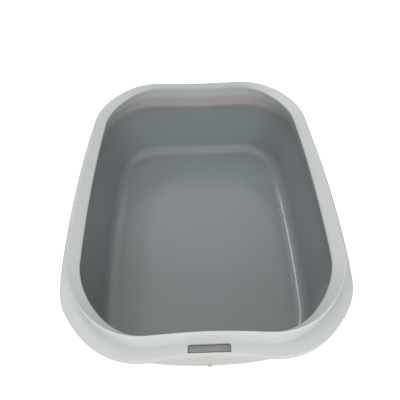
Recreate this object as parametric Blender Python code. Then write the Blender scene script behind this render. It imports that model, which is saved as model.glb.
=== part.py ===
"""Litter tray with a lift-off rim: a deep grey pan and the white rim that clips over its flange.

Metres, +Z up. The origin is on the ground under the middle of the pan. The long sides run along Y,
and the pinched ends, each with a catch window and a grip apron, face -Y (front) and +Y (back).
Run with blender --background --python part.py, or from the text editor.
"""
import math

import bmesh
import bpy
from mathutils import Vector

# Plan of the tray, at the outer edge of the rim's ledge
HALF_WIDTH = 0.138
HALF_LENGTH = 0.1820
CORNER_RADIUS = 0.0886
SIDE_BULGE = 0.0107
END_BULGE = 0.0160
PINCH_HALF_WIDTH = 0.1140
EDGE_PINCH = 0.0148
CREASE_PINCH = 0.0119
BEAD_PINCH = 0.0100
FLOOR_PINCH = 0.0070

# How much further in, or out, a line runs round the corners than along the sides
CREASE_LEAN = 0.0032
BROW_LEAN = 0.0061
PAN_LEAN = -0.0045

# The ledge is narrower along the long sides and widens again before each corner
SIDE_NARROWING = 0.0057
NARROW_UNTIL = 0.1005
WIDE_FROM = 0.1415

# Rim
RIM_WALL = 0.0020
LIP_DROP = 0.0066
EDGE_ROUND = 0.0020
CREASE_INSET = 0.0121
CREASE_RISE = 0.0014
CREST_INSET = 0.0161
CREST_HEIGHT = 0.0186
BROW_INSET = 0.0190
BROW_HEIGHT = 0.0114
SKIRT_INSET = 0.0154
SKIRT_DEPTH = 0.0198

# Grip apron at each pinched end of the rim
APRON_HALF_WIDTH = 0.050
APRON_REACH = 0.0062
APRON_DROP = 0.0045
NUB_RADIUS = 0.0027
NUB_REACH = 0.0012

# Catch window in the ledge at each end, and the strip of ledge left outside it
WINDOW_WIDTH = 0.0365
WINDOW_DEPTH = 0.0071
WINDOW_CORNER = 0.0022
WINDOW_STRIP = 0.0010

# Pan
PAN_WALL = 0.0023
PAN_DEPTH = 0.0940
FLOOR_THICKNESS = 0.0025
FLOOR_INSET = 0.0315
FLOOR_ROUND = 0.0160
SHOULDER_INSET = 0.0167
SHOULDER_ROUND = 0.0022
FLANGE_DROP = 0.0040
FLANGE_ROUND = 0.0010
FOOT_HEIGHT = 0.0035
FOOT_WIDTH = 0.0110
CATCH_RECESS = 0.0008

# Clearances
SEAT_GAP = 0.0003
SKIRT_GAP = 0.0003
FLANGE_GAP = 0.0005
CATCH_GAP = 0.0005
OVERRUN = 0.0040
WELD = 0.00001

# Smoothness: stretches of the plan, and of the rounded parts of a section
SIDE_STEPS = 18
END_STEPS = 18
CORNER_STEPS = 16
FLOOR_ROUND_STEPS = 5
ROUND_STEPS = 3

# Where a section's in-between points lie, as shares of the way in and of the way up or down
FLANK_SHARES = ((0.22, 0.10), (0.36, 0.34), (0.50, 0.66), (0.70, 0.90))
BROW_SHARES = ((0.36, 0.22), (0.78, 0.62))
INNER_WALL_SHARES = ((0.04, 0.07), (0.30, 0.36), (0.68, 0.72))
HOLLOW_TOP_SHARE = 0.6

LEDGE_HEIGHT = PAN_DEPTH + FLOOR_THICKNESS + FOOT_HEIGHT
FLANGE_TOP = -RIM_WALL - SEAT_GAP
FLANGE_INSET = RIM_WALL + FLANGE_GAP
RECESS_INSET = SKIRT_INSET - RIM_WALL - SKIRT_GAP
SHOULDER_TOP = -SKIRT_DEPTH - SEAT_GAP


def start_clean():
    """Remove every object of the scene."""
    for obj in list(bpy.data.objects):
        bpy.data.objects.remove(obj, do_unlink=True)


def plastic(name, color, roughness):
    """A moulded plastic of one colour."""
    material = bpy.data.materials.new(name)
    material.use_nodes = True
    shader = material.node_tree.nodes["Principled BSDF"]
    shader.inputs["Base Color"].default_value = (*color, 1.0)
    shader.inputs["Roughness"].default_value = roughness
    shader.inputs["Metallic"].default_value = 0.0
    return material


def stations():
    """Points and outward normals of the plain rounded rectangle, once round, anticlockwise."""
    straight_x = HALF_WIDTH - CORNER_RADIUS
    straight_y = HALF_LENGTH - CORNER_RADIUS
    corners = ((straight_x, straight_y), (-straight_x, straight_y),
               (-straight_x, -straight_y), (straight_x, -straight_y))
    found = []
    for turn, corner in enumerate(corners):
        previous = corners[turn - 1]
        steps = SIDE_STEPS if turn % 2 == 0 else END_STEPS
        start = turn * math.pi / 2
        normal = Vector((math.cos(start), math.sin(start)))
        first = Vector(previous) + CORNER_RADIUS * normal
        last = Vector(corner) + CORNER_RADIUS * normal
        for step in range(steps):
            found.append((first.lerp(last, step / steps), normal))
        for step in range(CORNER_STEPS):
            angle = start + math.pi / 2 * step / CORNER_STEPS
            normal = Vector((math.cos(angle), math.sin(angle)))
            found.append((Vector(corner) + CORNER_RADIUS * normal, normal))
    return found


def narrow_share(y):
    """1 along the long sides, easing to 0 where the ledge has its full width."""
    way = (abs(y) - NARROW_UNTIL) / (WIDE_FROM - NARROW_UNTIL)
    way = min(max(way, 0), 1)
    return 1 - way * way * (3 - 2 * way)


def apron_share(x):
    """How far the apron stands out at x: a parabola that ends in a point at each side."""
    return max(0, 1 - (x / APRON_HALF_WIDTH) ** 2)


def corner_share(normal):
    """0 along the sides and ends, 1 at the middle of a corner."""
    return 4 * (normal.x * normal.y) ** 2


def plan_point(point, normal, inset, pinch, narrowing=0):
    """A point of the plan, moved in by inset, with the sides bulged and the ends pinched."""
    x, y = point - inset * normal
    side = max(-1, min(1, x / (HALF_WIDTH - CORNER_RADIUS)))
    end = max(-1, min(1, y / (HALF_LENGTH - CORNER_RADIUS)))
    way = min(abs(x) / PINCH_HALF_WIDTH, 1)
    moved_x = SIDE_BULGE * (1 - (y / HALF_LENGTH) ** 2) - narrowing * narrow_share(y) * abs(normal.x)
    moved_y = END_BULGE * (1 - (x / HALF_WIDTH) ** 2) - pinch * (1 + math.cos(math.pi * way)) / 2
    return x + side * moved_x, y + end * moved_y


def ring(place, pinch, narrowing=0, reach=0, drop=0):
    """One turn round the tray at a place of the section: inset, height above the ledge, corner lean."""
    inset, height, lean = place
    points = []
    for point, normal in stations():
        x, y = plan_point(point, normal, inset + lean * corner_share(normal), pinch, narrowing)
        share = apron_share(x) if abs(normal.y) > abs(normal.x) else 0
        y += math.copysign(reach * share, y)
        points.append(Vector((x, y, LEDGE_HEIGHT + height - drop * share)))
    return points


def skin(name, rings, closed):
    """Extrude the first ring from ring to ring, then weld the last to the first or cap both ends."""
    bm = bmesh.new()
    verts = [bm.verts.new(point) for point in rings[0]]
    edges = [bm.edges.new((verts[i - 1], verts[i])) for i in range(len(verts))]
    for points in rings[1:] + (rings[:1] if closed else []):
        grown = bmesh.ops.extrude_edge_only(bm, edges=edges)["geom"]
        twins = {tuple(item.co): item for item in grown if isinstance(item, bmesh.types.BMVert)}
        verts = [twins[tuple(vert.co)] for vert in verts]
        row = set(verts)
        edges = [item for item in grown
                 if isinstance(item, bmesh.types.BMEdge) and row.issuperset(item.verts)]
        for vert, point in zip(verts, points):
            vert.co = point
    if closed:
        bmesh.ops.remove_doubles(bm, verts=bm.verts, dist=WELD)
    else:
        bmesh.ops.holes_fill(bm, edges=bm.edges, sides=0)
    bmesh.ops.recalc_face_normals(bm, faces=bm.faces)
    if bm.calc_volume(signed=True) < 0:
        bmesh.ops.reverse_faces(bm, faces=bm.faces)
    mesh = bpy.data.meshes.new(name)
    bm.to_mesh(mesh)
    bm.free()
    obj = bpy.data.objects.new(name, mesh)
    bpy.context.collection.objects.link(obj)
    return obj


def block(name, center, size, corner=0, inward=1):
    """A box whose two upright edges on the inward side, the sign of Y, are rounded."""
    bm = bmesh.new()
    bmesh.ops.create_cube(bm, size=1)
    bmesh.ops.scale(bm, vec=size, verts=bm.verts)
    if corner:
        upright = [edge for edge in bm.edges
                   if all(v.co.y * inward > 0 for v in edge.verts)
                   and edge.verts[0].co.x * edge.verts[1].co.x > 0
                   and abs(edge.verts[0].co.z - edge.verts[1].co.z) > 0]
        bmesh.ops.bevel(bm, geom=upright, offset=corner, segments=ROUND_STEPS, profile=0.5,
                        affect="EDGES", material=-1)
    bmesh.ops.translate(bm, vec=center, verts=bm.verts)
    mesh = bpy.data.meshes.new(name)
    bm.to_mesh(mesh)
    bm.free()
    obj = bpy.data.objects.new(name, mesh)
    bpy.context.collection.objects.link(obj)
    return obj


def guide(obj):
    """Hide a cutter or an added lump from the render."""
    obj.hide_render = True
    obj.display_type = "WIRE"
    return obj


def boolean(obj, other, operation):
    """Cut or join other, a guide, into obj."""
    modifier = obj.modifiers.new(other.name, "BOOLEAN")
    modifier.operation = operation
    modifier.object = guide(other)
    modifier.solver = "EXACT"


def finish(obj, material):
    """Give a piece its material and its shading."""
    obj.data.materials.append(material)
    obj.data.shade_smooth()
    obj.data.set_sharp_from_angle(angle=math.radians(35))


def between(start, end, shares):
    """Places on the way from start to end, by shares of the way in and of the way up."""
    return [(start[0] + (end[0] - start[0]) * in_share, start[1] + (end[1] - start[1]) * up_share,
             start[2] + (end[2] - start[2]) * up_share) for in_share, up_share in shares]


def pinch_at(inset):
    """The pinch of the rim at an inset: deepest at the edge, less at the crease and the bead."""
    if inset <= CREASE_INSET:
        return EDGE_PINCH + (CREASE_PINCH - EDGE_PINCH) * inset / CREASE_INSET
    way = min((inset - CREASE_INSET) / (BROW_INSET - CREASE_INSET), 1)
    return CREASE_PINCH + (BEAD_PINCH - CREASE_PINCH) * way


def end_y(inset, pinch):
    """How far the middle of an end lies from the middle of the tray."""
    return HALF_LENGTH - inset + END_BULGE - pinch


def window_middle():
    """Distance in Y of a window's middle."""
    return end_y(0, EDGE_PINCH) - WINDOW_STRIP - WINDOW_DEPTH / 2


def rim_rings():
    """The closed section of the rim, from the lip over the ledge and the bead to the skirt and back."""
    lip = (0, -LIP_DROP, 0)
    lip_inside = (RIM_WALL, -LIP_DROP, 0)
    crease = (CREASE_INSET, CREASE_RISE, CREASE_LEAN)
    crest = (CREST_INSET, CREST_HEIGHT, 0)
    brow = (BROW_INSET, BROW_HEIGHT, BROW_LEAN)
    skirt = (SKIRT_INSET, -SKIRT_DEPTH, PAN_LEAN)
    hollow_foot = (CREASE_INSET + RIM_WALL, CREASE_RISE - RIM_WALL, CREASE_LEAN)
    hollow_back = (BROW_INSET - RIM_WALL, BROW_HEIGHT, BROW_LEAN)
    hollow_top = (hollow_foot[0] + (hollow_back[0] - hollow_foot[0]) * HOLLOW_TOP_SHARE,
                  CREST_HEIGHT - 2 * RIM_WALL, CREASE_LEAN)
    skirt_back = (SKIRT_INSET - RIM_WALL, -SKIRT_DEPTH, PAN_LEAN)

    rings = [ring(lip, EDGE_PINCH, SIDE_NARROWING, APRON_REACH, APRON_DROP)]
    for step in range(ROUND_STEPS + 1):
        angle = math.pi / 2 * step / ROUND_STEPS
        inset = EDGE_ROUND * (1 - math.cos(angle))
        height = -EDGE_ROUND * (1 - math.sin(angle))
        rings.append(ring((inset, height, 0), pinch_at(inset), SIDE_NARROWING))
    for place in (crease, *between(crease, crest, FLANK_SHARES), crest):
        rings.append(ring(place, pinch_at(place[0])))
    for place in (*between(crest, brow, BROW_SHARES), brow, *between(brow, skirt, INNER_WALL_SHARES),
                  skirt, skirt_back, hollow_back, hollow_top):
        rings.append(ring(place, BEAD_PINCH))
    rings.append(ring(hollow_foot, CREASE_PINCH))
    rings.append(ring((CREASE_INSET, -RIM_WALL, CREASE_LEAN), CREASE_PINCH))
    rings.append(ring((RIM_WALL, -RIM_WALL, 0), EDGE_PINCH, SIDE_NARROWING))
    rings.append(ring(lip_inside, EDGE_PINCH, SIDE_NARROWING, APRON_REACH, APRON_DROP))
    return rings


def pan_wall_inset(height):
    """The inset of the pan's inner face at a height, drafted from the shoulder to the floor."""
    way = (height - SHOULDER_TOP) / (-PAN_DEPTH - SHOULDER_TOP)
    return SHOULDER_INSET + (FLOOR_INSET - SHOULDER_INSET) * way


def pan_pinch(height):
    """The pinch of the pan at a height: that of the bead above, less towards the floor."""
    way = (height - SHOULDER_TOP) / (-PAN_DEPTH - SHOULDER_TOP)
    way = min(max(way, 0), 1)
    return BEAD_PINCH + (FLOOR_PINCH - BEAD_PINCH) * way


def floor_round(floor, offset, radius):
    """The rounding between the drafted wall, moved out by offset, and a floor height."""
    draft = math.atan2(FLOOR_INSET - SHOULDER_INSET, PAN_DEPTH + SHOULDER_TOP)
    foot = pan_wall_inset(floor) - offset / math.cos(draft)
    center_inset = foot + radius * (1 - math.sin(draft)) / math.cos(draft)
    points = []
    for step in range(FLOOR_ROUND_STEPS + 1):
        angle = draft + (math.pi / 2 - draft) * step / FLOOR_ROUND_STEPS
        points.append((center_inset - radius * math.cos(angle), floor + radius * (1 - math.sin(angle))))
    return points


def pan_rings():
    """The pan's section from the floor up inside, over the flange and down outside to the base."""
    underside = -PAN_DEPTH - FLOOR_THICKNESS
    inside = list(reversed(floor_round(-PAN_DEPTH, 0, FLOOR_ROUND)))
    outside = floor_round(underside, PAN_WALL, FLOOR_ROUND + PAN_WALL)
    shoulder_edge = SHOULDER_INSET - SHOULDER_ROUND
    for step in range(ROUND_STEPS + 1):
        angle = math.pi / 2 * step / ROUND_STEPS
        inside.append((shoulder_edge + SHOULDER_ROUND * math.cos(angle),
                       SHOULDER_TOP - SHOULDER_ROUND * (1 - math.sin(angle))))
    inside.append((RECESS_INSET, SHOULDER_TOP))
    inside.append((RECESS_INSET, FLANGE_TOP - FLANGE_ROUND))
    inside.append((RECESS_INSET - FLANGE_ROUND, FLANGE_TOP))
    back_inset = RECESS_INSET - PAN_WALL
    lower_back = SHOULDER_TOP - SHOULDER_ROUND - PAN_WALL
    outer_wall = [(back_inset, FLANGE_TOP - PAN_WALL), (back_inset, SHOULDER_TOP),
                  (pan_wall_inset(lower_back) - PAN_WALL, lower_back)]
    foot_outer = outside[-1][0]
    foot = [(foot_outer, -LEDGE_HEIGHT), (foot_outer + FOOT_WIDTH, -LEDGE_HEIGHT),
            (foot_outer + FOOT_WIDTH, underside)]

    rings = [ring((inset, height, PAN_LEAN), pan_pinch(height)) for inset, height in inside]
    flange = [(FLANGE_INSET + FLANGE_ROUND, FLANGE_TOP), (FLANGE_INSET, FLANGE_TOP - FLANGE_ROUND),
              (FLANGE_INSET, FLANGE_TOP - FLANGE_DROP), (FLANGE_INSET + PAN_WALL, FLANGE_TOP - FLANGE_DROP),
              (FLANGE_INSET + PAN_WALL, FLANGE_TOP - PAN_WALL)]
    for inset, height in flange:
        rings.append(ring((inset, height, 0), EDGE_PINCH, SIDE_NARROWING))
    rings += [ring((inset, height, PAN_LEAN), pan_pinch(height))
              for inset, height in outer_wall + outside + foot]
    return rings


def window_cutter(side):
    """The space of one catch window, side -1 at the front and 1 at the back."""
    top = LEDGE_HEIGHT + OVERRUN
    bottom = LEDGE_HEIGHT + FLANGE_TOP - FLANGE_DROP
    center = (0, side * window_middle(), (top + bottom) / 2)
    size = (WINDOW_WIDTH, WINDOW_DEPTH, top - bottom)
    return block("window_cutter_" + ("back" if side > 0 else "front"), center, size,
                 WINDOW_CORNER, -side)


def catch_land(side):
    """The raised land on the pan's flange that fills one window."""
    top = LEDGE_HEIGHT - CATCH_RECESS
    bottom = LEDGE_HEIGHT + FLANGE_TOP - FLANGE_DROP
    bottom += FLANGE_ROUND
    center = (0, side * window_middle(), (top + bottom) / 2)
    size = (WINDOW_WIDTH - 2 * CATCH_GAP, WINDOW_DEPTH - 2 * CATCH_GAP, top - bottom)
    return block("catch_land_" + ("back" if side > 0 else "front"), center, size,
                 WINDOW_CORNER - CATCH_GAP, -side)


def apron_nub(side):
    """The small round nub under the middle of an apron's edge."""
    bm = bmesh.new()
    bmesh.ops.create_cone(bm, cap_ends=True, segments=4 * ROUND_STEPS, radius1=NUB_RADIUS,
                          radius2=NUB_RADIUS, depth=RIM_WALL)
    y = side * (end_y(0, EDGE_PINCH) + APRON_REACH + NUB_REACH - NUB_RADIUS)
    z = LEDGE_HEIGHT - LIP_DROP - APRON_DROP
    bmesh.ops.translate(bm, vec=(0, y, z), verts=bm.verts)
    mesh = bpy.data.meshes.new("apron_nub")
    bm.to_mesh(mesh)
    bm.free()
    obj = bpy.data.objects.new("apron_nub_" + ("back" if side > 0 else "front"), mesh)
    bpy.context.collection.objects.link(obj)
    return obj


def make_pan():
    """The deep grey pan with its shoulder, flange, catch lands and foot."""
    pan = skin("pan", pan_rings(), closed=False)
    for side in (-1, 1):
        boolean(pan, catch_land(side), "UNION")
    finish(pan, plastic("pan_grey", (0.19, 0.21, 0.215), 0.25))
    return pan


def make_rim():
    """The white rim with its ledge, bead, inner skirt, windows and grip aprons."""
    rim = skin("rim", rim_rings(), closed=True)
    for side in (-1, 1):
        boolean(rim, window_cutter(side), "DIFFERENCE")
        boolean(rim, apron_nub(side), "UNION")
    finish(rim, plastic("rim_white", (0.60, 0.62, 0.60), 0.45))
    return rim


def main():
    """Build the tray."""
    start_clean()
    make_pan()
    make_rim()


main()
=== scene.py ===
"""Finished look of the litter tray: the grey pan, the white lift-off rim and a plain studio."""
import math

import bmesh
import bpy
from mathutils import Matrix, Vector


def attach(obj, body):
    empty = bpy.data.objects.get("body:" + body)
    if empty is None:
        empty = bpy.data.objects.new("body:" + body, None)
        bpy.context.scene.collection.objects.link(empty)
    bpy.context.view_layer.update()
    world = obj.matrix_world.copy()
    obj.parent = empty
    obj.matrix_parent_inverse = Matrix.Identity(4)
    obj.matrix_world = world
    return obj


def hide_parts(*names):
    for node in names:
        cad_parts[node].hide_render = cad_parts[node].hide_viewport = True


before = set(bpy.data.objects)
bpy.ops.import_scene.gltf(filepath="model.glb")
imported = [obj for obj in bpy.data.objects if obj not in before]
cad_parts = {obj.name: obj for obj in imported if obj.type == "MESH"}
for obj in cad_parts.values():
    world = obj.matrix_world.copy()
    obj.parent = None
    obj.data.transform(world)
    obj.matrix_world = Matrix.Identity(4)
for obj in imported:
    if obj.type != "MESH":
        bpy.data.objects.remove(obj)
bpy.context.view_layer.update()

bl_info = {
    "name": "Litter tray with rim",
    "version": (1, 0, 0),
    "blender": (4, 5, 0),
    "location": "3D View > Sidebar > Litter tray",
    "description": "Moulds a litter pan and its lift-off rim, and lights them",
    "category": "Add Mesh",
}

# Shares of the way in, and of the way up or down, of a section's in-between points
FLANK_SHARES = ((0.22, 0.10), (0.36, 0.34), (0.50, 0.66), (0.70, 0.90))
BROW_SHARES = ((0.36, 0.22), (0.78, 0.62))
INNER_WALL_SHARES = ((0.04, 0.07), (0.30, 0.36), (0.68, 0.72))
HOLLOW_TOP_SHARE = 0.6
HOLLOW_SIDE_SHARE = 0.3
ENDS = (("front", -1), ("back", 1))

# Divisions of the rounded parts, and of the curves through a section's other points
FLOOR_ROUND_STEPS = 16
OUTER_ROUND_STEPS = 12
EDGE_ROUND_STEPS = 6
FLANGE_ROUND_STEPS = 4
LIP_STEPS = 5
CURVE_STEPS = 4
WINDOW_CORNER_STEPS = 8
SOFT_EDGE_STEPS = 3
NUB_STEPS = 32
FLOOR_STEPS = 96

# How quickly an apron fades up the lip, and the softening of a nub as a share of its height
APRON_FADE = 1.15
NUB_SOFT_SHARE = 0.25

# Distance within which points are welded, and the angle above which an edge stays sharp
WELD = 0.00001
SHARP_ANGLE = math.radians(32)

# Noise in the plastic: scales, and how much the slow waves stand out above the grain
CLOUD_SCALE = 9.0
STREAK_SCALE = 38.0
GRAIN_SCALE = 900.0
WAVE_SCALE = 22.0
WAVE_STRENGTH = 6.0
PLASTIC_IOR = 1.49

# Heights between which the pan's colour changes to that of its top
PAN_BLEND = (0.06, 0.098)

# Each lamp's place, the point that it looks at, and its size across and along
KEY_LAMP = ((-0.55, 0.70, 1.05), (0, 0.70, 0.05), (0.56, 0.14))
TOP_LAMP = ((-0.15, 0.15, 1.3), (0, 0, 0.05), (0.6, 0.6))
FILL_LAMP = ((0.1, -1.2, 0.75), (0, 0.05, 0.08), (0.9, 0.7))
FLOOR_ROUGHNESS = 0.9
FLOOR_SPECULAR = 0.2
SENSOR_WIDTH = 36


def length(name, description, default):
    """A size in metres that a user may change."""
    return bpy.props.FloatProperty(name=name, description=description, default=default, min=0,
                                   precision=4, subtype="DISTANCE", unit="LENGTH")


def offset(name, description, default):
    """A signed distance in metres."""
    return bpy.props.FloatProperty(name=name, description=description, default=default,
                                   precision=4, subtype="DISTANCE", unit="LENGTH")


def steps(name, description, default):
    """How finely a stretch is divided."""
    return bpy.props.IntProperty(name=name, description=description, default=default, min=1)


def color(name, description, default):
    """A linear colour that a user may change."""
    return bpy.props.FloatVectorProperty(name=name, description=description, default=default,
                                         size=3, min=0, max=1, subtype="COLOR")


def amount(name, description, default):
    """A share or strength without a unit."""
    return bpy.props.FloatProperty(name=name, description=description, default=default)


class TrayPlan(bpy.types.PropertyGroup):
    """The plan that the rim and the pan share, at the edge of the rim's ledge."""
    half_width: length("Half width", "Middle to a long side, without its bulge", 0.138)
    half_length: length("Half length", "Middle to an end, without its bulge", 0.182)
    corner_radius: length("Corner radius", "Radius of the ledge's corners", 0.0886)
    side_bulge: length("Side bulge", "How far a long side bows out", 0.0107)
    end_bulge: length("End bulge", "How far an end bows out before it is pinched", 0.016)
    pinch_half_width: length("Pinch half width", "Half the width of the pinch of an end", 0.114)
    edge_pinch: length("Edge pinch", "How deep the ledge's edge is pinched", 0.0148)
    crease_pinch: length("Crease pinch", "How deep the crease is pinched", 0.0119)
    bead_pinch: length("Bead pinch", "How deep the bead and the skirt are pinched", 0.01)
    floor_pinch: length("Floor pinch", "How deep the pan's floor is pinched", 0.007)
    side_steps: steps("Side steps", "Divisions of a long side", 72)
    end_steps: steps("End steps", "Divisions of an end", 54)
    corner_steps: steps("Corner steps", "Divisions of a corner", 48)


class RimSizes(bpy.types.PropertyGroup):
    """Sizes of the rim."""
    wall: length("Wall", "Thickness of the moulding", 0.002)
    lip_drop: length("Lip drop", "Ledge to the bottom of the lip", 0.0066)
    edge_round: length("Edge round", "Rounding of the ledge's edge", 0.002)
    crease_inset: length("Crease inset", "Edge to the foot of the bead", 0.0121)
    crease_rise: length("Crease rise", "Rise of the ledge up to the crease", 0.0014)
    crease_lean: offset("Crease lean", "How much further in the crease runs at the corners", 0.0032)
    crest_inset: length("Crest inset", "Edge to the top of the bead", 0.0161)
    crest_height: length("Crest height", "Ledge to the top of the bead", 0.0186)
    brow_inset: length("Brow inset", "Edge to the bead's inner edge", 0.019)
    brow_height: length("Brow height", "Ledge to the bead's inner edge", 0.0114)
    brow_lean: offset("Brow lean", "How much further in the brow runs at the corners", 0.002)
    brow_side_lean: offset("Brow side lean", "How much further in the brow runs at the sides",
                           0.0082)
    skirt_inset: length("Skirt inset", "Edge to the skirt's inner face", 0.0154)
    skirt_depth: length("Skirt depth", "Ledge to the bottom of the skirt", 0.0198)
    side_narrowing: length("Side narrowing", "How much narrower the ledge is at the sides", 0.0057)
    narrow_until: length("Narrow until", "Distance along a side where it starts to widen", 0.1005)
    wide_from: length("Wide from", "Distance along a side where it is wide again", 0.1415)
    apron_half_width: length("Apron half width", "Half the width of a grip apron", 0.05)
    apron_reach: length("Apron reach", "How far an apron stands out", 0.0062)
    apron_drop: length("Apron drop", "How far an apron hangs below the lip", 0.0045)
    nub_radius: length("Nub radius", "Radius of the nub under an apron", 0.0027)
    nub_reach: length("Nub reach", "How far the nub stands out", 0.0012)
    window_width: length("Window width", "Width of a catch window", 0.0365)
    window_depth: length("Window depth", "Depth of a catch window", 0.0071)
    window_corner: length("Window corner", "Rounding of a window's inner corners", 0.0022)
    window_strip: length("Window strip", "Ledge left outside a window", 0.001)


class PanSizes(bpy.types.PropertyGroup):
    """Sizes of the pan."""
    wall: length("Wall", "Thickness of the moulding", 0.0023)
    depth: length("Depth", "Ledge of the rim to the pan's floor", 0.094)
    floor_thickness: length("Floor thickness", "Thickness of the floor", 0.0025)
    floor_inset: length("Floor inset", "Edge to the foot of the wall", 0.0315)
    floor_round: length("Floor round", "Rounding between wall and floor", 0.016)
    shoulder_inset: length("Shoulder inset", "Edge to the wall below the rim's skirt", 0.0167)
    shoulder_round: length("Shoulder round", "Rounding of the shoulder", 0.0022)
    corner_lean: offset("Corner lean", "How much further in the pan runs at the corners", -0.0045)
    flange_drop: length("Flange drop", "Height of the flange's edge", 0.004)
    flange_round: length("Flange round", "Rounding of the flange", 0.001)
    foot_height: length("Foot height", "Height of the foot ring", 0.0035)
    foot_width: length("Foot width", "Width of the foot ring", 0.011)
    land_recess: length("Land recess", "Ledge to the top of a catch land", 0.0008)
    seat_gap: length("Seat gap", "Gap between the rim and what it sits on", 0.0003)
    skirt_gap: length("Skirt gap", "Gap between the skirt and the pan", 0.0003)
    flange_gap: length("Flange gap", "Gap between the lip and the flange", 0.0005)
    land_gap: length("Land gap", "Gap between a land and its window", 0.0005)


class TrayFinish(bpy.types.PropertyGroup):
    """Colours and surface of the two mouldings."""
    rim_color: color("Rim", "The rim's off-white plastic", (0.585, 0.607, 0.60))
    # Painted shade: the rim's own white, made darker and warmer on the lip and below the ledge,
    # where it lies in shade
    rim_painted_shade_color: color("Rim, low", "The same plastic on the lip and below the ledge",
                         (0.53, 0.505, 0.49))
    rim_roughness: amount("Rim roughness", "Roughness of the rim", 0.42)
    pan_color: color("Pan", "The pan's grey plastic", (0.265, 0.295, 0.300))
    pan_top_color: color("Pan top", "The same plastic, slightly darker near the flange",
                         (0.250, 0.258, 0.252))
    pan_roughness: amount("Pan roughness", "Roughness of the pan", 0.13)


class StudioSettings(bpy.types.PropertyGroup):
    """Floor, lamps and camera."""
    floor_radius: length("Floor radius", "Radius of the floor", 3)
    floor_color: color("Floor", "Colour of the floor", (0.86, 0.86, 0.86))
    floor_glow: amount("Floor glow", "White added where the camera sees the floor", 0.6)
    room_strength: amount("Room light", "Strength of the even light of the room", 0.47)
    key_power: amount("Key power", "Power of the lamp behind on the left, in watts", 2.8)
    fill_power: amount("Fill power", "Power of the wide lamp in front, in watts", 9)
    top_power: amount("Top power", "Power of the wide lamp above, in watts", 3.2)
    camera_place: bpy.props.FloatVectorProperty(
        name="Camera", description="Camera, from the middle of the rim's ledge",
        default=(-0.00757, -0.2906, 0.3348), size=3, subtype="TRANSLATION", unit="LENGTH")
    camera_pitch: bpy.props.FloatProperty(name="Pitch", description="Angle below the horizon",
                                          default=0.8876, subtype="ANGLE")
    camera_yaw: bpy.props.FloatProperty(name="Yaw", description="Turn to the right",
                                        default=0.0154, subtype="ANGLE")
    camera_roll: bpy.props.FloatProperty(name="Roll", description="Roll to the left",
                                         default=-0.0166, subtype="ANGLE")
    focal_share: amount("Focal share", "Focal length as a share of the picture's width", 0.985)


def clamp(value, low, high):
    """value, kept between low and high."""
    return max(low, min(high, value))


def ledge_height(context):
    """Ground to the rim's ledge."""
    pan = context.scene.tray_pan
    return pan.depth + pan.floor_thickness + pan.foot_height


def stations(plan):
    """Points and outward normals of the plain rounded rectangle, once round, anticlockwise."""
    straight_x = plan.half_width - plan.corner_radius
    straight_y = plan.half_length - plan.corner_radius
    corners = ((straight_x, straight_y), (-straight_x, straight_y),
               (-straight_x, -straight_y), (straight_x, -straight_y))
    found = []
    for turn, corner in enumerate(corners):
        count = plan.side_steps if turn % 2 == 0 else plan.end_steps
        start = turn * math.pi / 2
        normal = Vector((math.cos(start), math.sin(start)))
        first = Vector(corners[turn - 1]) + plan.corner_radius * normal
        last = Vector(corner) + plan.corner_radius * normal
        for step in range(count):
            found.append((first.lerp(last, step / count), normal))
        for step in range(plan.corner_steps):
            angle = start + math.pi / 2 * step / plan.corner_steps
            normal = Vector((math.cos(angle), math.sin(angle)))
            found.append((Vector(corner) + plan.corner_radius * normal, normal))
    return found


class Sweep:
    """Turns places of a section into rings round the tray."""

    def __init__(self, context):
        self.plan = context.scene.tray_plan
        self.rim = context.scene.tray_rim
        self.ledge = ledge_height(context)
        self.stations = stations(self.plan)

    def narrow_share(self, y):
        """1 along the long sides, easing to 0 where the ledge has its full width."""
        way = (abs(y) - self.rim.narrow_until) / (self.rim.wide_from - self.rim.narrow_until)
        way = clamp(way, 0, 1)
        return 1 - way * way * (3 - 2 * way)

    def apron_share(self, x):
        """A parabola that ends in a point at each side of the apron."""
        return max(0, 1 - (x / self.rim.apron_half_width) ** 2)

    def plan_point(self, point, normal, inset, pinch, narrowing):
        """A point moved in by inset, with the sides bulged and the ends pinched."""
        plan = self.plan
        x, y = point - inset * normal
        side = clamp(x / (plan.half_width - plan.corner_radius), -1, 1)
        end = clamp(y / (plan.half_length - plan.corner_radius), -1, 1)
        way = min(abs(x) / plan.pinch_half_width, 1)
        moved_x = plan.side_bulge * (1 - (y / plan.half_length) ** 2)
        moved_x -= narrowing * self.narrow_share(y) * abs(normal.x)
        moved_y = plan.end_bulge * (1 - (x / plan.half_width) ** 2)
        moved_y -= pinch * (1 + math.cos(math.pi * way)) / 2
        return x + side * moved_x, y + end * moved_y

    def ring(self, place, pinch, narrowing=0, reach=0, drop=0):
        """One turn round the tray at a place: inset, height above the ledge, two leans."""
        inset, height, lean, side_lean = place
        points = []
        for point, normal in self.stations:
            leaned = inset + lean * 4 * (normal.x * normal.y) ** 2 + side_lean * normal.x ** 2
            x, y = self.plan_point(point, normal, leaned, pinch, narrowing)
            share = self.apron_share(x) if abs(normal.y) > abs(normal.x) else 0
            y += math.copysign(reach * share, y)
            points.append(Vector((x, y, self.ledge + height - drop * share)))
        return points

    def end_y(self, inset, pinch):
        """Middle of the tray to the middle of an end."""
        return self.plan.half_length - inset + self.plan.end_bulge - pinch

    def window_y(self):
        """Middle of the tray to the middle of a window."""
        middle = self.rim.window_strip + self.rim.window_depth / 2
        return self.end_y(0, self.plan.edge_pinch) - middle


def between(start, end, shares):
    """Places on the way from start to end, by shares of the way in and of the way up."""
    return [(start[0] + (end[0] - start[0]) * in_share, start[1] + (end[1] - start[1]) * up_share,
             start[2] + (end[2] - start[2]) * up_share, start[3] + (end[3] - start[3]) * up_share)
            for in_share, up_share in shares]


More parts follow.
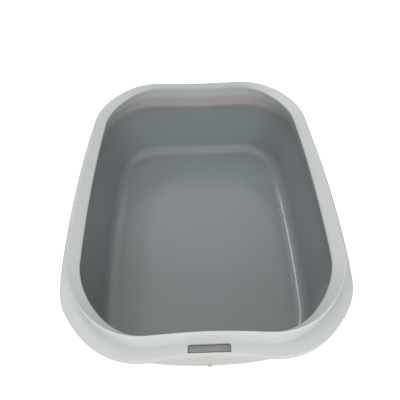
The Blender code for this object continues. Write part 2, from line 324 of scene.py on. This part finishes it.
def curve_through(places, divisions):
    """More places on a smooth curve through the given ones, which keeps both ends."""
    found = []
    for index in range(len(places) - 1):
        before = Vector(places[max(index - 1, 0)])
        start = Vector(places[index])
        end = Vector(places[index + 1])
        after = Vector(places[min(index + 2, len(places) - 1)])
        for step in range(divisions):
            way = step / divisions
            bend = (2 * start + (end - before) * way
                    + (2 * before - 5 * start + 4 * end - after) * way ** 2
                    + (3 * start - before - 3 * end + after) * way ** 3)
            found.append(tuple(bend / 2))
    found.append(tuple(places[-1]))
    return found


def new_object(name, bm):
    """Turn a bmesh into an object of the scene."""
    mesh = bpy.data.meshes.new(name)
    bm.to_mesh(mesh)
    bm.free()
    obj = bpy.data.objects.new(name, mesh)
    bpy.context.scene.collection.objects.link(obj)
    return obj


def skin(name, rings, closed):
    """Extrude the first ring from ring to ring, then weld it closed or cap both ends."""
    bm = bmesh.new()
    verts = [bm.verts.new(point) for point in rings[0]]
    edges = [bm.edges.new((verts[i - 1], verts[i])) for i in range(len(verts))]
    for points in rings[1:] + (rings[:1] if closed else []):
        grown = bmesh.ops.extrude_edge_only(bm, edges=edges)["geom"]
        twins = {tuple(item.co): item for item in grown if isinstance(item, bmesh.types.BMVert)}
        verts = [twins[tuple(vert.co)] for vert in verts]
        row = set(verts)
        edges = [item for item in grown
                 if isinstance(item, bmesh.types.BMEdge) and row.issuperset(item.verts)]
        for vert, point in zip(verts, points):
            vert.co = point
    if closed:
        bmesh.ops.remove_doubles(bm, verts=bm.verts, dist=WELD)
    else:
        bmesh.ops.holes_fill(bm, edges=bm.edges, sides=0)
    bmesh.ops.recalc_face_normals(bm, faces=bm.faces)
    if bm.calc_volume(signed=True) < 0:
        bmesh.ops.reverse_faces(bm, faces=bm.faces)
    return new_object(name, bm)


def block(name, center, size, corner, inward, soften=0):
    """A box with its inward upright edges rounded, and its top edges softened."""
    bm = bmesh.new()
    bmesh.ops.create_cube(bm, size=1)
    bmesh.ops.scale(bm, vec=size, verts=bm.verts)
    upright = [edge for edge in bm.edges
               if all(vert.co.y * inward > 0 for vert in edge.verts)
               and edge.verts[0].co.x * edge.verts[1].co.x > 0
               and edge.verts[0].co.z * edge.verts[1].co.z < 0]
    bmesh.ops.bevel(bm, geom=upright, offset=corner, segments=WINDOW_CORNER_STEPS, profile=0.5,
                    affect="EDGES", material=-1)
    if soften:
        top = [edge for edge in bm.edges if all(vert.co.z > 0 for vert in edge.verts)]
        bmesh.ops.bevel(bm, geom=top, offset=soften, segments=SOFT_EDGE_STEPS, profile=0.5,
                        affect="EDGES", material=-1)
    bmesh.ops.translate(bm, vec=center, verts=bm.verts)
    return new_object(name, bm)


def combine(obj, others, operation):
    """Cut or join the others into obj, keep the result as obj's mesh and remove the others."""
    for other in others:
        modifier = obj.modifiers.new(other.name, "BOOLEAN")
        modifier.operation = operation
        modifier.object = other
        modifier.solver = "EXACT"
    depsgraph = bpy.context.evaluated_depsgraph_get()
    shape = bpy.data.meshes.new_from_object(obj.evaluated_get(depsgraph))
    obj.modifiers.clear()
    obj.data = shape
    for other in others:
        bpy.data.objects.remove(other, do_unlink=True)


def dress(obj, material, node, body):
    """Shade a piece, give it its material and seat it on its body in place of its CAD node."""
    obj.data.materials.clear()
    obj.data.materials.append(material)
    obj.data.shade_smooth()
    obj.data.set_sharp_from_angle(angle=SHARP_ANGLE)
    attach(obj, body)
    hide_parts(node)


def add_node(tree, kind, **values):
    """A node of a tree with some of its input sockets set."""
    node = tree.nodes.new(kind)
    for name, value in values.items():
        node.inputs[name].default_value = value
    return node


def moulding_group():
    """Shader group for moulded plastic: a colour that shifts with height, smudges and grain."""
    name = "moulded_plastic"
    if name in bpy.data.node_groups:
        return bpy.data.node_groups[name]
    tree = bpy.data.node_groups.new(name, "ShaderNodeTree")
    face = tree.interface
    for title, kind in (("Vector", "NodeSocketVector"), ("Color", "NodeSocketColor"),
                        ("Low Color", "NodeSocketColor"), ("Low Height", "NodeSocketFloat"),
                        ("High Height", "NodeSocketFloat"), ("Roughness", "NodeSocketFloat"),
                        ("Smudge", "NodeSocketFloat"), ("Mottle", "NodeSocketFloat")):
        face.new_socket(name=title, in_out="INPUT", socket_type=kind)
    for title, kind in (("Color", "NodeSocketColor"), ("Roughness", "NodeSocketFloat"),
                        ("Height", "NodeSocketFloat")):
        face.new_socket(name=title, in_out="OUTPUT", socket_type=kind)
    given = tree.nodes.new("NodeGroupInput")
    result = tree.nodes.new("NodeGroupOutput")
    link = tree.links.new

    split = tree.nodes.new("ShaderNodeSeparateXYZ")
    link(given.outputs["Vector"], split.inputs[0])
    # Colour blended by height; on the rim the low colour is painted shade on the lip and below the
    # ledge
    rise = tree.nodes.new("ShaderNodeMapRange")
    rise.interpolation_type = "SMOOTHSTEP"
    link(split.outputs["Z"], rise.inputs["Value"])
    link(given.outputs["Low Height"], rise.inputs["From Min"])
    link(given.outputs["High Height"], rise.inputs["From Max"])
    tone = tree.nodes.new("ShaderNodeMix")
    tone.data_type = "RGBA"
    link(rise.outputs["Result"], tone.inputs["Factor"])
    link(given.outputs["Low Color"], tone.inputs["A"])
    link(given.outputs["Color"], tone.inputs["B"])

    cloud = add_node(tree, "ShaderNodeTexNoise", Scale=CLOUD_SCALE, Detail=3.0, Roughness=0.55)
    link(given.outputs["Vector"], cloud.inputs["Vector"])
    mottle = tree.nodes.new("ShaderNodeMapRange")
    link(cloud.outputs["Fac"], mottle.inputs["Value"])
    mottle.inputs["From Min"].default_value = 0.3
    mottle.inputs["From Max"].default_value = 0.7
    darkest = add_node(tree, "ShaderNodeMath")
    darkest.operation = "SUBTRACT"
    darkest.inputs[0].default_value = 1.0
    link(given.outputs["Mottle"], darkest.inputs[1])
    link(darkest.outputs[0], mottle.inputs["To Min"])
    shaded = tree.nodes.new("ShaderNodeVectorMath")
    shaded.operation = "SCALE"
    link(tone.outputs["Result"], shaded.inputs[0])
    link(mottle.outputs["Result"], shaded.inputs["Scale"])
    link(shaded.outputs["Vector"], result.inputs["Color"])

    streak = add_node(tree, "ShaderNodeTexNoise", Scale=STREAK_SCALE, Detail=5.0,
                      Roughness=0.6, Distortion=0.8)
    link(given.outputs["Vector"], streak.inputs["Vector"])
    smudge = tree.nodes.new("ShaderNodeMath")
    smudge.operation = "MULTIPLY_ADD"
    link(streak.outputs["Fac"], smudge.inputs[0])
    link(given.outputs["Smudge"], smudge.inputs[1])
    link(given.outputs["Roughness"], smudge.inputs[2])
    link(smudge.outputs[0], result.inputs["Roughness"])

    grain = add_node(tree, "ShaderNodeTexNoise", Scale=GRAIN_SCALE, Detail=2.0, Roughness=0.5)
    link(given.outputs["Vector"], grain.inputs["Vector"])
    wave = add_node(tree, "ShaderNodeTexNoise", Scale=WAVE_SCALE, Detail=2.0, Roughness=0.4)
    link(given.outputs["Vector"], wave.inputs["Vector"])
    height = tree.nodes.new("ShaderNodeMath")
    height.operation = "MULTIPLY_ADD"
    link(wave.outputs["Fac"], height.inputs[0])
    height.inputs[1].default_value = WAVE_STRENGTH
    link(grain.outputs["Fac"], height.inputs[2])
    link(height.outputs[0], result.inputs["Height"])
    return tree


def plastic(name, high_color, low_color, heights, roughness, smudge, mottle, relief):
    """A moulded plastic: the shared group's colour, roughness and relief on a glossy shader."""
    material = bpy.data.materials.new(name)
    material.use_nodes = True
    tree = material.node_tree
    shader = tree.nodes["Principled BSDF"]
    coordinates = tree.nodes.new("ShaderNodeTexCoord")
    group = tree.nodes.new("ShaderNodeGroup")
    group.node_tree = moulding_group()
    bump = tree.nodes.new("ShaderNodeBump")
    tree.links.new(coordinates.outputs["Object"], group.inputs["Vector"])
    group.inputs["Color"].default_value = (*high_color, 1)
    group.inputs["Low Color"].default_value = (*low_color, 1)
    group.inputs["Low Height"].default_value = heights[0]
    group.inputs["High Height"].default_value = heights[1]
    group.inputs["Roughness"].default_value = roughness
    group.inputs["Smudge"].default_value = smudge
    group.inputs["Mottle"].default_value = mottle
    bump.inputs["Distance"].default_value = relief
    bump.inputs["Strength"].default_value = 1.0
    tree.links.new(group.outputs["Color"], shader.inputs["Base Color"])
    tree.links.new(group.outputs["Roughness"], shader.inputs["Roughness"])
    tree.links.new(group.outputs["Height"], bump.inputs["Height"])
    tree.links.new(bump.outputs["Normal"], shader.inputs["Normal"])
    shader.inputs["Metallic"].default_value = 0.0
    shader.inputs["IOR"].default_value = PLASTIC_IOR
    return material


class TRAY_OT_pan(bpy.types.Operator):
    """Mould the grey pan with its shoulder, flange, catch lands and foot ring"""
    bl_idname = "tray.pan"
    bl_label = "Pan"

    def wall_inset(self, height):
        """Inset of the pan's inner face at a height, drafted from the shoulder to the floor."""
        way = (height - self.shoulder_top) / (-self.pan.depth - self.shoulder_top)
        return self.pan.shoulder_inset + (self.pan.floor_inset - self.pan.shoulder_inset) * way

    def pinch(self, height):
        """Pinch of the pan at a height: that of the bead above, less towards the floor."""
        way = clamp((height - self.shoulder_top) / (-self.pan.depth - self.shoulder_top), 0, 1)
        return self.plan.bead_pinch + (self.plan.floor_pinch - self.plan.bead_pinch) * way

    def rounding(self, floor, moved_out, radius, divisions):
        """Quarter round between the drafted wall, moved out, and a floor height."""
        fall = self.pan.depth + self.shoulder_top
        draft = math.atan2(self.pan.floor_inset - self.pan.shoulder_inset, fall)
        foot = self.wall_inset(floor) - moved_out / math.cos(draft)
        center = foot + radius * (1 - math.sin(draft)) / math.cos(draft)
        places = []
        for step in range(divisions + 1):
            angle = draft + (math.pi / 2 - draft) * step / divisions
            places.append((center - radius * math.cos(angle),
                           floor + radius * (1 - math.sin(angle))))
        return places

    def inside(self):
        """From the floor up the inner wall, over the shoulder and the recess for the skirt."""
        pan = self.pan
        places = list(reversed(self.rounding(-pan.depth, 0, pan.floor_round, FLOOR_ROUND_STEPS)))
        shoulder_edge = pan.shoulder_inset - pan.shoulder_round
        for step in range(EDGE_ROUND_STEPS + 1):
            angle = math.pi / 2 * step / EDGE_ROUND_STEPS
            places.append((shoulder_edge + pan.shoulder_round * math.cos(angle),
                           self.shoulder_top - pan.shoulder_round * (1 - math.sin(angle))))
        return places + [(self.recess, self.shoulder_top),
                         (self.recess, self.flange_top - pan.flange_round),
                         (self.recess - pan.flange_round, self.flange_top)]

    def flange(self):
        """Over the flange and its turned-down edge."""
        pan = self.pan
        edge = self.rim.wall + pan.flange_gap
        low = self.flange_top - pan.flange_drop
        places = []
        for step in range(FLANGE_ROUND_STEPS + 1):
            angle = math.pi / 2 * step / FLANGE_ROUND_STEPS
            places.append((edge + pan.flange_round * (1 - math.sin(angle)),
                           self.flange_top - pan.flange_round * (1 - math.cos(angle))))
        return places + [(edge, low), (edge + pan.wall, low),
                         (edge + pan.wall, self.flange_top - pan.wall)]

    def outside(self):
        """Down the outer wall to the foot ring."""
        pan = self.pan
        underside = -pan.depth - pan.floor_thickness
        back = self.recess - pan.wall
        lower = self.shoulder_top - pan.shoulder_round - pan.wall
        rounded = self.rounding(underside, pan.wall, pan.floor_round + pan.wall, OUTER_ROUND_STEPS)
        foot = rounded[-1][0]
        lowest = lower - pan.wall
        step_out = curve_through([(back, self.shoulder_top + pan.wall), (back, self.shoulder_top),
                                  (self.wall_inset(lower) - pan.wall, lower),
                                  (self.wall_inset(lowest) - pan.wall, lowest)], CURVE_STEPS)
        return ([(back, self.flange_top - pan.wall)] + step_out + rounded
                + [(foot, -self.ledge), (foot + pan.foot_width, -self.ledge),
                   (foot + pan.foot_width, underside)])

    def execute(self, context):
        self.plan = context.scene.tray_plan
        self.pan = context.scene.tray_pan
        self.rim = context.scene.tray_rim
        self.ledge = ledge_height(context)
        self.shoulder_top = -self.rim.skirt_depth - self.pan.seat_gap
        self.recess = self.rim.skirt_inset - self.rim.wall - self.pan.skirt_gap
        self.flange_top = -self.rim.wall - self.pan.seat_gap
        sweep = Sweep(context)
        lean = self.pan.corner_lean
        rings = [sweep.ring((inset, height, lean, 0), self.pinch(height))
                 for inset, height in self.inside()]
        rings += [sweep.ring((inset, height, 0, 0), self.plan.edge_pinch,
                             self.rim.side_narrowing)
                  for inset, height in self.flange()]
        rings += [sweep.ring((inset, height, lean, 0), self.pinch(height))
                  for inset, height in self.outside()]
        pan = skin("pan_moulding", rings, closed=False)
        combine(pan, [self.land(sweep, name, side) for name, side in ENDS], "UNION")
        finish = context.scene.tray_finish
        material = plastic("pan_grey", finish.pan_top_color, finish.pan_color, PAN_BLEND,
                           finish.pan_roughness, smudge=0.10, mottle=0.05, relief=0.000004)
        dress(pan, material, "pan", "pan_body")
        return {"FINISHED"}

    def land(self, sweep, name, side):
        """The raised land on the flange that fills one window."""
        top = self.ledge - self.pan.land_recess
        bottom = self.ledge + self.flange_top - self.pan.flange_drop + self.pan.flange_round
        gap = self.pan.land_gap
        size = (self.rim.window_width - 2 * gap, self.rim.window_depth - 2 * gap, top - bottom)
        return block("land_" + name, (0, side * sweep.window_y(), (top + bottom) / 2), size,
                     self.rim.window_corner - gap, -side, gap)


class TRAY_OT_rim(bpy.types.Operator):
    """Mould the white rim with its ledge, bead, skirt, catch windows and grip aprons"""
    bl_idname = "tray.rim"
    bl_label = "Rim"

    def pinch(self, inset):
        """Pinch at an inset: deepest at the edge, less at the crease and least at the bead."""
        plan = self.plan
        rim = self.rim
        if inset <= rim.crease_inset:
            return plan.edge_pinch + (plan.crease_pinch - plan.edge_pinch) * inset / rim.crease_inset
        way = min((inset - rim.crease_inset) / (rim.brow_inset - rim.crease_inset), 1)
        return plan.crease_pinch + (plan.bead_pinch - plan.crease_pinch) * way

    def ledge_rings(self, sweep):
        """The lip, its apron and the rounded edge of the ledge."""
        rim = self.rim
        rings = []
        for step in range(LIP_STEPS):
            way = step / LIP_STEPS
            place = (0, -rim.lip_drop + (rim.lip_drop - rim.edge_round) * way, 0, 0)
            fade = (1 - way) ** APRON_FADE
            rings.append(sweep.ring(place, self.plan.edge_pinch, rim.side_narrowing,
                                    rim.apron_reach * fade, rim.apron_drop * fade))
        for step in range(EDGE_ROUND_STEPS + 1):
            angle = math.pi / 2 * step / EDGE_ROUND_STEPS
            inset = rim.edge_round * (1 - math.cos(angle))
            height = -rim.edge_round * (1 - math.sin(angle))
            rings.append(sweep.ring((inset, height, 0, 0), self.pinch(inset), rim.side_narrowing))
        return rings

    def bead_rings(self, sweep):
        """The bead, from the crease over its crest and brow down to the skirt."""
        rim = self.rim
        crease = (rim.crease_inset, rim.crease_rise, rim.crease_lean, 0)
        crest = (rim.crest_inset, rim.crest_height, 0, 0)
        brow = (rim.brow_inset, rim.brow_height, rim.brow_lean, rim.brow_side_lean)
        skirt = (rim.skirt_inset, -rim.skirt_depth, self.lean, 0)
        places = [crease, *between(crease, crest, FLANK_SHARES), crest,
                  *between(crest, brow, BROW_SHARES), brow,
                  *between(brow, skirt, INNER_WALL_SHARES), skirt]
        rings = []
        passed_crest = False
        for place in curve_through(places, CURVE_STEPS):
            passed_crest = passed_crest or place[0] > rim.crest_inset
            pinch = self.plan.bead_pinch if passed_crest else self.pinch(place[0])
            rings.append(sweep.ring(place, pinch))
        return rings

    def under_rings(self, sweep):
        """The underside: the skirt's back, the hollow of the bead and the lip's inner face."""
        rim = self.rim
        plan = self.plan
        foot = (rim.crease_inset + rim.wall, rim.crease_rise - rim.wall, rim.crease_lean, 0)
        back = (rim.brow_inset - rim.wall, rim.brow_height, rim.brow_lean, rim.brow_side_lean)
        top = (foot[0] + (back[0] - foot[0]) * HOLLOW_TOP_SHARE, rim.crest_height - 2 * rim.wall,
               rim.crease_lean, rim.brow_side_lean * HOLLOW_SIDE_SHARE)
        skirt_back = (rim.skirt_inset - rim.wall, -rim.skirt_depth, self.lean, 0)
        rings = [sweep.ring(place, plan.bead_pinch) for place in (skirt_back, back, top)]
        rings.append(sweep.ring(foot, plan.crease_pinch))
        rings.append(sweep.ring((rim.crease_inset, -rim.wall, rim.crease_lean, 0),
                                plan.crease_pinch))
        rings.append(sweep.ring((rim.wall, -rim.wall, 0, 0), plan.edge_pinch, rim.side_narrowing))
        rings.append(sweep.ring((rim.wall, -rim.lip_drop, 0, 0), plan.edge_pinch,
                                rim.side_narrowing, rim.apron_reach, rim.apron_drop))
        return rings

    def window(self, sweep, name, side):
        """The space of one catch window."""
        rim = self.rim
        top = self.ledge + rim.lip_drop
        bottom = self.ledge - rim.lip_drop
        center = (0, side * sweep.window_y(), (top + bottom) / 2)
        return block("window_" + name, center, (rim.window_width, rim.window_depth, top - bottom),
                     rim.window_corner, -side)

    def nub(self, sweep, name, side):
        """The small round nub under the middle of an apron's edge."""
        rim = self.rim
        bm = bmesh.new()
        bmesh.ops.create_cone(bm, cap_ends=True, segments=NUB_STEPS, radius1=rim.nub_radius,
                              radius2=rim.nub_radius, depth=rim.wall)
        edges = [edge for edge in bm.edges if edge.verts[0].co.z * edge.verts[1].co.z > 0]
        bmesh.ops.bevel(bm, geom=edges, offset=rim.wall * NUB_SOFT_SHARE,
                        segments=SOFT_EDGE_STEPS, profile=0.5, affect="EDGES", material=-1)
        y = sweep.end_y(0, self.plan.edge_pinch) + rim.apron_reach + rim.nub_reach - rim.nub_radius
        z = self.ledge - rim.lip_drop - rim.apron_drop
        bmesh.ops.translate(bm, vec=(0, side * y, z), verts=bm.verts)
        return new_object("nub_" + name, bm)

    def execute(self, context):
        self.plan = context.scene.tray_plan
        self.rim = context.scene.tray_rim
        self.lean = context.scene.tray_pan.corner_lean
        self.ledge = ledge_height(context)
        sweep = Sweep(context)
        rings = self.ledge_rings(sweep) + self.bead_rings(sweep) + self.under_rings(sweep)
        rim = skin("rim_moulding", rings, closed=True)
        combine(rim, [self.window(sweep, name, side) for name, side in ENDS], "DIFFERENCE")
        combine(rim, [self.nub(sweep, name, side) for name, side in ENDS], "UNION")
        finish = context.scene.tray_finish
        # The rim's white fades into painted shade from the crease down to the bottom of the lip
        material = plastic("rim_white", finish.rim_color, finish.rim_painted_shade_color,
                           (self.ledge - self.rim.lip_drop, self.ledge + self.rim.crease_rise),
                           finish.rim_roughness, smudge=0.12, mottle=0.03, relief=0.000006)
        dress(rim, material, "rim", "rim_body")
        return {"FINISHED"}


class TRAY_OT_studio(bpy.types.Operator):
    """Lay the floor, set the room light and the lamps, and place the camera"""
    bl_idname = "tray.studio"
    bl_label = "Studio"

    def floor(self, settings):
        """A round pale floor that looks white to the camera and keeps the tray's shadow."""
        bm = bmesh.new()
        bmesh.ops.create_circle(bm, cap_ends=True, segments=FLOOR_STEPS,
                                radius=settings.floor_radius)
        floor = new_object("floor", bm)
        material = bpy.data.materials.new("floor")
        material.use_nodes = True
        tree = material.node_tree
        shader = tree.nodes["Principled BSDF"]
        shader.inputs["Base Color"].default_value = (*settings.floor_color, 1)
        shader.inputs["Roughness"].default_value = FLOOR_ROUGHNESS
        shader.inputs["Specular IOR Level"].default_value = FLOOR_SPECULAR
        shader.inputs["Emission Color"].default_value = (1, 1, 1, 1)
        glow = tree.nodes.new("ShaderNodeMath")
        glow.operation = "MULTIPLY"
        glow.inputs[1].default_value = settings.floor_glow
        tree.links.new(seen_directly(tree), glow.inputs[0])
        tree.links.new(glow.outputs[0], shader.inputs["Emission Strength"])
        floor.data.materials.append(material)

    def room(self, scene, settings):
        """Even white light from all round, white where it is seen directly."""
        world = bpy.data.worlds.new("room")
        scene.world = world
        world.use_nodes = True
        tree = world.node_tree
        background = tree.nodes["Background"]
        background.inputs["Color"].default_value = (1, 1, 1, 1)
        level = tree.nodes.new("ShaderNodeMapRange")
        level.inputs["To Min"].default_value = settings.room_strength
        tree.links.new(seen_directly(tree), level.inputs["Value"])
        tree.links.new(level.outputs["Result"], background.inputs["Strength"])

    def lamp(self, name, setting, power, mirrored=True):
        """A soft lamp that looks at a point, and that gloss shows or doesn't."""
        place, target, size = setting
        light = bpy.data.lights.new(name, "AREA")
        light.shape = "RECTANGLE"
        light.size, light.size_y = size
        light.energy = power
        lamp = bpy.data.objects.new(name, light)
        bpy.context.scene.collection.objects.link(lamp)
        lamp.visible_glossy = mirrored
        lamp.location = place
        lamp.rotation_euler = (Vector(target) - Vector(place)).to_track_quat("-Z", "Y").to_euler()

    def camera(self, scene, settings, ledge):
        """The camera, above the front end and looking down into the pan."""
        data = bpy.data.cameras.new("camera")
        data.sensor_width = SENSOR_WIDTH
        data.lens = data.sensor_width * settings.focal_share
        camera = bpy.data.objects.new("camera", data)
        scene.collection.objects.link(camera)
        turn = Matrix.Rotation(-settings.camera_yaw, 4, "Z")
        tilt = Matrix.Rotation(math.pi / 2 - settings.camera_pitch, 4, "X")
        roll = Matrix.Rotation(settings.camera_roll, 4, "Z")
        place = Vector(settings.camera_place) + Vector((0, 0, ledge))
        camera.matrix_world = Matrix.Translation(place) @ turn @ tilt @ roll
        scene.camera = camera

    def execute(self, context):
        scene = context.scene
        settings = scene.tray_studio
        self.floor(settings)
        self.room(scene, settings)
        self.lamp("key", KEY_LAMP, settings.key_power)
        self.lamp("top", TOP_LAMP, settings.top_power, mirrored=False)
        self.lamp("fill", FILL_LAMP, settings.fill_power, mirrored=False)
        self.camera(scene, settings, ledge_height(context))
        scene.view_settings.view_transform = "Standard"
        return {"FINISHED"}


def seen_directly(tree):
    """1 for rays from the camera and in reflections and glass, 0 for light that falls on things."""
    path = tree.nodes.new("ShaderNodeLightPath")
    first = tree.nodes.new("ShaderNodeMath")
    first.operation = "MAXIMUM"
    both = tree.nodes.new("ShaderNodeMath")
    both.operation = "MAXIMUM"
    tree.links.new(path.outputs["Is Camera Ray"], first.inputs[0])
    tree.links.new(path.outputs["Is Glossy Ray"], first.inputs[1])
    tree.links.new(first.outputs[0], both.inputs[0])
    tree.links.new(path.outputs["Is Transmission Ray"], both.inputs[1])
    return both.outputs[0]


class TRAY_PT_panel(bpy.types.Panel):
    """The tray's sizes, finishes and makers"""
    bl_idname = "TRAY_PT_panel"
    bl_label = "Litter tray"
    bl_space_type = "VIEW_3D"
    bl_region_type = "UI"
    bl_category = "Litter tray"

    def draw(self, context):
        scene = context.scene
        for operator in (TRAY_OT_pan, TRAY_OT_rim, TRAY_OT_studio):
            self.layout.operator(operator.bl_idname)
        for group in (scene.tray_plan, scene.tray_rim, scene.tray_pan, scene.tray_finish,
                      scene.tray_studio):
            box = self.layout.box()
            for name in group.__annotations__:
                box.prop(group, name)


CLASSES = (TrayPlan, RimSizes, PanSizes, TrayFinish, StudioSettings, TRAY_OT_pan, TRAY_OT_rim,
           TRAY_OT_studio, TRAY_PT_panel)


def register():
    """Make the sizes, operators and panel known to Blender."""
    for known in CLASSES:
        bpy.utils.register_class(known)
    bpy.types.Scene.tray_plan = bpy.props.PointerProperty(type=TrayPlan)
    bpy.types.Scene.tray_rim = bpy.props.PointerProperty(type=RimSizes)
    bpy.types.Scene.tray_pan = bpy.props.PointerProperty(type=PanSizes)
    bpy.types.Scene.tray_finish = bpy.props.PointerProperty(type=TrayFinish)
    bpy.types.Scene.tray_studio = bpy.props.PointerProperty(type=StudioSettings)


def unregister():
    """Take the sizes, operators and panel away again."""
    del bpy.types.Scene.tray_studio
    del bpy.types.Scene.tray_finish
    del bpy.types.Scene.tray_pan
    del bpy.types.Scene.tray_rim
    del bpy.types.Scene.tray_plan
    for known in reversed(CLASSES):
        bpy.utils.unregister_class(known)


def main():
    """Make the tray and its studio."""
    register()
    bpy.ops.tray.pan()
    bpy.ops.tray.rim()
    bpy.ops.tray.studio()


if __name__ == "__main__":
    main()
